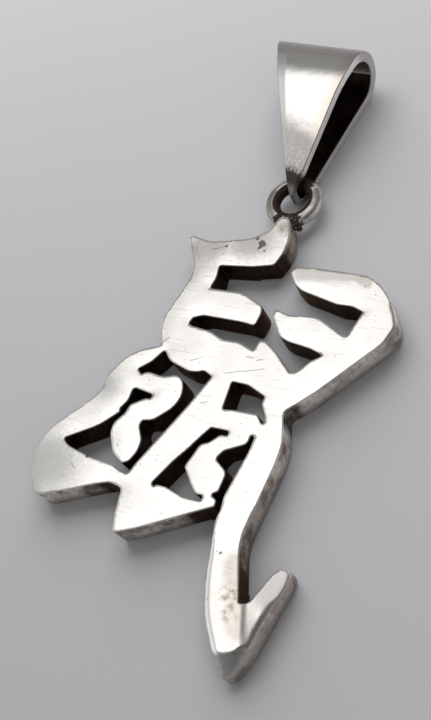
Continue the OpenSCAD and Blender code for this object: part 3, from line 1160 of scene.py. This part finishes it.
def plate_finish():
    finish, tree, spot = new_finish("worn_silver_plate")
    plan = plan_of(spot)
    wall = stored(tree, "wall")
    filed = stored(tree, "filed")
    walls, shut_in, streaks = plate_walls(spot, plan, stored(tree, "sheltered"))

    # The films on the polished face.
    clouds = cloud(spot, 0.22, detail=4.0)
    grain = cloud(spot, 5.0, detail=4.0, roughness=0.7)
    blotches = cloud(spot, 1.7).uneven(grain, 0.15)
    thin = clouds.step_up(0.3, 0.75) * grain.between(0.1, 0.45)
    # Warm and cool are films, and also painted shade where the face mirrors a dimmer part of the room.
    warm_and_shade = largest(marks_at(plan, WARM_FILM_AND_SHADE_PLACES) * grain.between(0.55, 1.0),
                   bands_at(plan, FILM_BANDS) * 0.6)
    cool_and_shade = marks_at(plan, COOL_FILM_AND_SHADE_PLACES) * grain.between(0.5, 1.0)
    pink = marks_at(plan, PINK_PLACES)
    peach = bands_at(plan, PEACH_BANDS) * blotches.between(0.3, 1.0)
    beige = marks_at(plan, BEIGE_PLACES) * blotches.step_up(0.42, 0.68)

    # What is cut into it: hairlines, pits, single scratches, and file lines along the leg.
    hair = use_group(HAIRLINES, Spot=spot, Fineness=5.5, Share=0.42)
    dots = use_group(PITS, Spot=spot, Fineness=1.6, Share=0.35, Size=0.14)
    fine_dots = use_group(PITS, Spot=spot, Fineness=3.4, Share=0.5, Size=0.2)
    fine_dots = fine_dots * largest(cool_and_shade, beige, marks_at(plan, SPECK_PLACES))
    worn = largest(dots * 0.7, fine_dots * 0.75, bands_at(plan, FACE_SCRATCHES) * 0.6)
    along_leg = add_node(tree, "ShaderNodeMapping", {
        "Vector": spot, "Rotation": (0, 0, -LEG_LINES_TURN), "Scale": (0.05, 1, 1)},
        vector_type="TEXTURE")
    leg_lines = cloud(along_leg, 6.0)

    face = layered(
        FACE_SILVER, (thin, FILM), (warm_and_shade * 0.8, FILM), (cool_and_shade * 0.9, COOL_FILM_AND_SHADE), (pink, PINK_FILM),
        (peach, PEACH), (beige, BEIGE), (hair * 0.25, FILM), (worn, STAIN),
        (marks_at(plan, FACE_MARKS) * 0.85, STAIN), (filed * grain.between(0.4, 1.0), FILED))
    filmed = largest(warm_and_shade, cool_and_shade, pink, peach, beige, filed)
    cuts = hair * 0.15 + worn * 0.5
    depth = (cloud(spot, 0.3, detail=1.0) * 1.2 - cuts + leg_lines * 0.12
             + filed * leg_lines * 0.9 + streaks * wall * 2.0)
    return shade(
        finish, colour=wall.blend(face, walls), metallic=1 - wall * shut_in.between(0.3, 0.25),
        roughness=wall.between(clouds.between(0.12, 0.24) + filmed * 0.2, WALL_ROUGHNESS),
        brown=wall * shut_in, normal=bump(depth, 0.5, 0.02))


put_on(plate, plate_finish())

# %% [markdown]
# ### The ring's finish
#
# The outside of the ring is as bright as the plate. Its inside, which the bail keeps rubbing
# tarnish into, is nearly black, and so is the part that meets the solder. Where the wire runs
# between the bail's leaves it is also painted dark, as painted shade, and its left side gets
# painted shade over a thin film.

# %% Ring finish
RING_SILVER = (0.80, 0.775, 0.74)
RING_FILM_AND_SHADE = (0.24, 0.22, 0.20)
RING_DARK = (0.010, 0.007, 0.006)
# Dark places, and a place of painted shade on the ring's left side, as the plate's marks.
DARK_PLACES = (
    (0.2, 11.05, 0.5, 0.5, 0.4), (1.6, 11.1, 0.8, 0.35, 0.4), (2.5, 10.75, 0.25, 0.3, 0.3),
    # The last place is painted shade where the wire runs between the bail's leaves, over tarnish there.
    (1.7, 15.6, 0.9, 0.5, 0.35))
RING_SHADE_PLACES = ((-1.5, 12.6, 1.3, 0.9, 0.3),)


def ring_finish():
    finish, tree, spot = new_finish("worn_silver_ring")
    plan = plan_of(spot)
    clouds = cloud(spot, 0.9, detail=4.0)
    grain = cloud(spot, 4.5, detail=4.0, roughness=0.7)
    # The film is partly a real film, from noise, and partly painted shade on the ring's left side.
    film = largest(clouds.step_up(0.35, 0.7) * 0.7, marks_at(plan, RING_SHADE_PLACES) * 0.75)
    tarnish = stored(tree, "inner").uneven(grain, 0.16).step_up(0.46, 0.66)
    dark = largest(tarnish, marks_at(plan, DARK_PLACES))
    return shade(
        finish, colour=layered(RING_SILVER, (film, RING_FILM_AND_SHADE), (dark, RING_DARK)),
        metallic=dark.between(1.0, 0.3), roughness=largest(dark, clouds).between(0.16, 0.5),
        brown=tarnish, normal=bump(clouds + grain * 0.4, 0.5, 0.04))


put_on(ring, ring_finish())

# %% [markdown]
# ### The solder's finish
#
# Solder that was never cleaned keeps a crust of flux and fire stain: dark brown, rough, with a few
# bare specks of metal where something rubbed against it.

# %% Solder finish
CRUST = (0.014, 0.009, 0.006)
LIGHT_CRUST = (0.04, 0.028, 0.018)
BARE_SPECK = (0.62, 0.56, 0.48)


def solder_finish():
    finish, _, spot = new_finish("crusted_solder")
    crust = cloud(spot, 2.2, detail=5.0, roughness=0.7)
    speck = cloud(spot, 5.5, detail=2.0).step_up(0.62, 0.7)
    return shade(
        finish, colour=layered(CRUST, (crust.step_up(0.42, 0.68), LIGHT_CRUST), (speck, BARE_SPECK)),
        metallic=speck.between(0.25, 0.95), roughness=crust.between(0.65, 0.35),
        brown=speck.between(1.0, 0.0), normal=bump(crust, 0.8, 0.12))


put_on(solder, solder_finish())

# %% [markdown]
# ### The bail's finish
#
# The bail is bright at its shoulder, where it rubs. Towards the nose it turns pinkish grey, then
# speckled, and its tip is dark. The very nose is darker still, as tarnish and as painted shade in the
# ring's hole. Inside the loop it is nearly black. The fold and a strip along the left edge are painted
# grey as painted shade, where they curve and mirror a dimmer part of the room. All of this is measured
# along the strip and across it, and the limits are made ragged with noise.

# %% Bail finish
BAIL_SILVER = (0.93, 0.915, 0.89)
BAIL_BEIGE = (0.78, 0.70, 0.62)
BAIL_PINK = (0.47, 0.43, 0.42)
BAIL_TIP = (0.018, 0.013, 0.012)
BAIL_CUT = (0.90, 0.87, 0.84)
BAIL_EDGE_SHADE = (0.60, 0.58, 0.565)
BAIL_FOLD_SHADE = (0.50, 0.47, 0.46)
LOOP_DARK = (0.006, 0.0035, 0.003)
LOOP_BROWN = (0.024, 0.014, 0.011)
# The strip's edges across it, in mm: [at the nose, change for each mm along].
LEFT_EDGE = (-0.40, -0.512)
RIGHT_EDGE = (0.21, 0.0716)
# Width of the strip of painted shade along the left edge, where it curves down, for each mm along.
EDGE_SHADE_SHARE = 0.075


def bail_finish():
    finish, tree, spot = new_finish("worn_silver_bail")
    from_ring = vector_maths("SUBTRACT", spot, RING_MID)
    along = vector_maths("DOT_PRODUCT", from_ring, BAIL_ALONG, "Value")
    across = vector_maths("DOT_PRODUCT", from_ring, BAIL_ACROSS, "Value")
    from_left, from_right = [
        across - (along * change + at_nose) for at_nose, change in (LEFT_EDGE, RIGHT_EDGE)]
    clouds = cloud(spot, 0.8, detail=4.0)
    grain = cloud(spot, 4.5, detail=4.0, roughness=0.75)
    drawn = cloud(vector_maths("MULTIPLY", spot, (1, 0.1, 1)), 3.0)

    # Each mask is a part of the strip, from its warm right side to the inside of the loop.
    beige = from_right.step_up(-1.7, -0.2) * 0.8
    pink = (along + across * 0.35).uneven(clouds, 1.2).step_down(5.0, 7.4)
    speckle = grain.step_up(0.52, 0.66) * pink * along.step_down(3.6, 6.0)
    tip = along.uneven(clouds, 0.6).uneven(grain, 0.7).step_down(2.1, 3.0)
    # The very nose is dark in full: tarnish, and painted shade where it lies deep in the ring's hole.
    tip = largest(tip * along.step_up(0.6, 1.5).between(0.6, 1.0), along.step_down(0.1, 0.7))
    cut = stored(tree, "cut") * tip.between(1.0, 0.1)
    # Painted shade along the left edge, where the strip curves down and mirrors a dimmer part of the
    # room.
    left_edge_shade = from_left.step_down(along * EDGE_SHADE_SHARE, along * EDGE_SHADE_SHARE * 1.3)
    left_edge_shade = left_edge_shade * tip.between(1.0, 0.0) * along.step_down(13.2, 14.6)
    # Painted shade on the fold, where its curve mirrors a dimmer part of the room.
    fold_shade = along.uneven(clouds, 0.25).step_up(14.0, 15.6)
    inner = stored(tree, "inner")
    loop = clouds.uneven(drawn, 0.3).step_up(0.42, 0.72).blend(LOOP_DARK, LOOP_BROWN)

    skin = layered(
        BAIL_SILVER, (beige, BAIL_BEIGE), (pink * drawn.between(0.6, 1.1), BAIL_PINK),
        (speckle * 0.75, BAIL_SILVER), (tip * 0.95, BAIL_TIP), (cut, BAIL_CUT),
        (left_edge_shade * 0.8, BAIL_EDGE_SHADE), (fold_shade * 0.9, BAIL_FOLD_SHADE), (inner, loop))
    dulled = largest(inner, pink * 0.8, cut * 0.7, left_edge_shade * 0.7, fold_shade)
    depth = clouds * 0.8 + grain * pink * 0.8 + drawn * 0.3
    return shade(
        finish, colour=skin, metallic=largest(inner * 0.4, tip * 0.2).between(1.0, 0.45),
        roughness=dulled.between(0.14, 0.42), brown=inner, normal=bump(depth, 0.5, 0.03))


put_on(bail, bail_finish())
